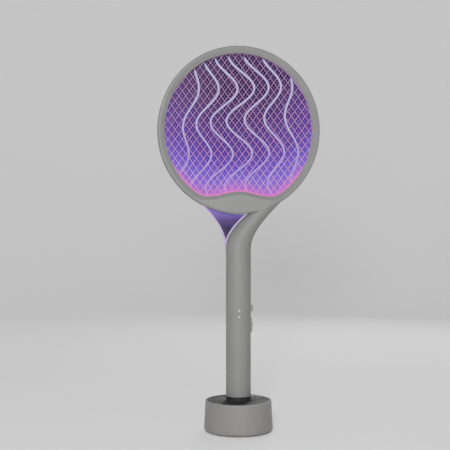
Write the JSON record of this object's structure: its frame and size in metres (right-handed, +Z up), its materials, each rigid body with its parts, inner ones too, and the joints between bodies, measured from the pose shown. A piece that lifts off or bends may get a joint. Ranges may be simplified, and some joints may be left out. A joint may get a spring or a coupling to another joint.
{
  "type": "electric fly swatter",
  "caption": "Cordless electric fly swatter: oval guarded high-voltage grid with a lit wavy cover and translucent neck fin, on a round handle standing in a drum-shaped charging dock.",
  "frame": {"origin": "on the floor under the dock's centre, which is also the middle of the whole object's box", "axes": "+Z up along the handle, -Y towards the front guard that faces the viewer, +X towards the side with the zap button and slider"},
  "size_m": [0.219, 0.093, 0.5185],
  "materials": {
    "shell_plastic": "satin moulded",
    "dark_plastic": "fine grain",
    "steel": "plain",
    "foot_rubber": "matte",
    "circuit_board": "satin lacquer",
    "contact_brass": "polished",
    "cell_wrap": "shrink film",
    "transformer_body": "wound and taped",
    "capacitor_body": "dipped",
    "lead_insulation": "matte",
    "guard_plastic": "satin",
    "rib_plastic": "satin",
    "insulator_plastic": "satin",
    "grid_metal": "drawn wire",
    "light_guide": "clear, lit",
    "fin_plastic": "clear violet tint",
    "lens": "clear"
  },
  "bodies": {
    "dock": {"dock_shell": "shell_plastic", "dock_top_plate": "dark_plastic", "dock_bottom_plate": "dark_plastic", "dock_ballast_weight": "steel", "dock_circuit_board": "circuit_board", "dock_usb_socket": "steel", "dock_contact_block": "dark_plastic", "pin_spring_left": "steel", "pin_spring_right": "steel", "dock_feet": "foot_rubber", "dock_screws": "steel"},
    "swatter": {"handle_front_shell": "shell_plastic", "handle_rear_shell": "shell_plastic", "handle_end_cap": "dark_plastic", "contact_pads": "contact_brass", "strap_lug": "shell_plastic", "battery_cell": "cell_wrap", "battery_contacts": "steel", "main_circuit_board": "circuit_board", "hv_transformer": "transformer_body", "hv_capacitor": "capacitor_body", "board_components": "dark_plastic", "tact_switch": "dark_plastic", "slide_switch": "steel", "button_bezel": "dark_plastic", "slider_bezel": "dark_plastic", "indicator_lenses": "lens", "status_leds": "lens", "hv_lead_wires": "lead_insulation", "lamp_lead_wires": "lead_insulation", "handle_screws": "steel", "neck_front_shell": "shell_plastic", "neck_rear_shell": "shell_plastic", "head_front_frame": "shell_plastic", "head_rear_frame": "shell_plastic", "front_guard": "guard_plastic", "guard_ribs": "rib_plastic", "front_insulator_ring": "insulator_plastic", "hv_grid_frame": "grid_metal", "hv_grid_wires": "grid_metal", "rear_insulator_ring": "insulator_plastic", "rear_guard": "guard_plastic", "lamp_light_guide": "light_guide", "lamp_circuit_board": "circuit_board", "uv_leds": "lens", "head_screws": "steel", "fin_panel": "fin_plastic", "fin_outer_light_guide": "light_guide", "fin_inner_light_guide": "light_guide"},
    "contact_pin_left": {"contact_pin_left": "contact_brass"},
    "contact_pin_right": {"contact_pin_right": "contact_brass"},
    "zap_button": {"zap_button": "shell_plastic"},
    "mode_slider": {"mode_slider": "shell_plastic"}
  },
  "joints": [
    {"name": "swatter_lift", "type": "slide", "parent": "dock", "child": "swatter", "axis": [0, 0, 1], "range_m": [0, 0.06]},
    {"name": "contact_pin_left_press", "type": "slide", "parent": "dock", "child": "contact_pin_left", "axis": [0, 0, -1], "range_m": [0, 0.0012], "stiffness_N_per_m": 200, "springref_m": -0.001, "deforming": ["pin_spring_left"]},
    {"name": "contact_pin_right_press", "type": "slide", "parent": "dock", "child": "contact_pin_right", "axis": [0, 0, -1], "range_m": [0, 0.0012], "stiffness_N_per_m": 200, "springref_m": -0.001, "deforming": ["pin_spring_right"]},
    {"name": "zap_button_press", "type": "slide", "parent": "swatter", "child": "zap_button", "axis": [-1, 0, 0], "range_m": [0, 0.0015], "stiffness_N_per_m": 600, "springref_m": -0.001},
    {"name": "mode_slider_slide", "type": "slide", "parent": "swatter", "child": "mode_slider", "axis": [0, 0, 1], "range_m": [-0.003, 0.003]}
  ]
}
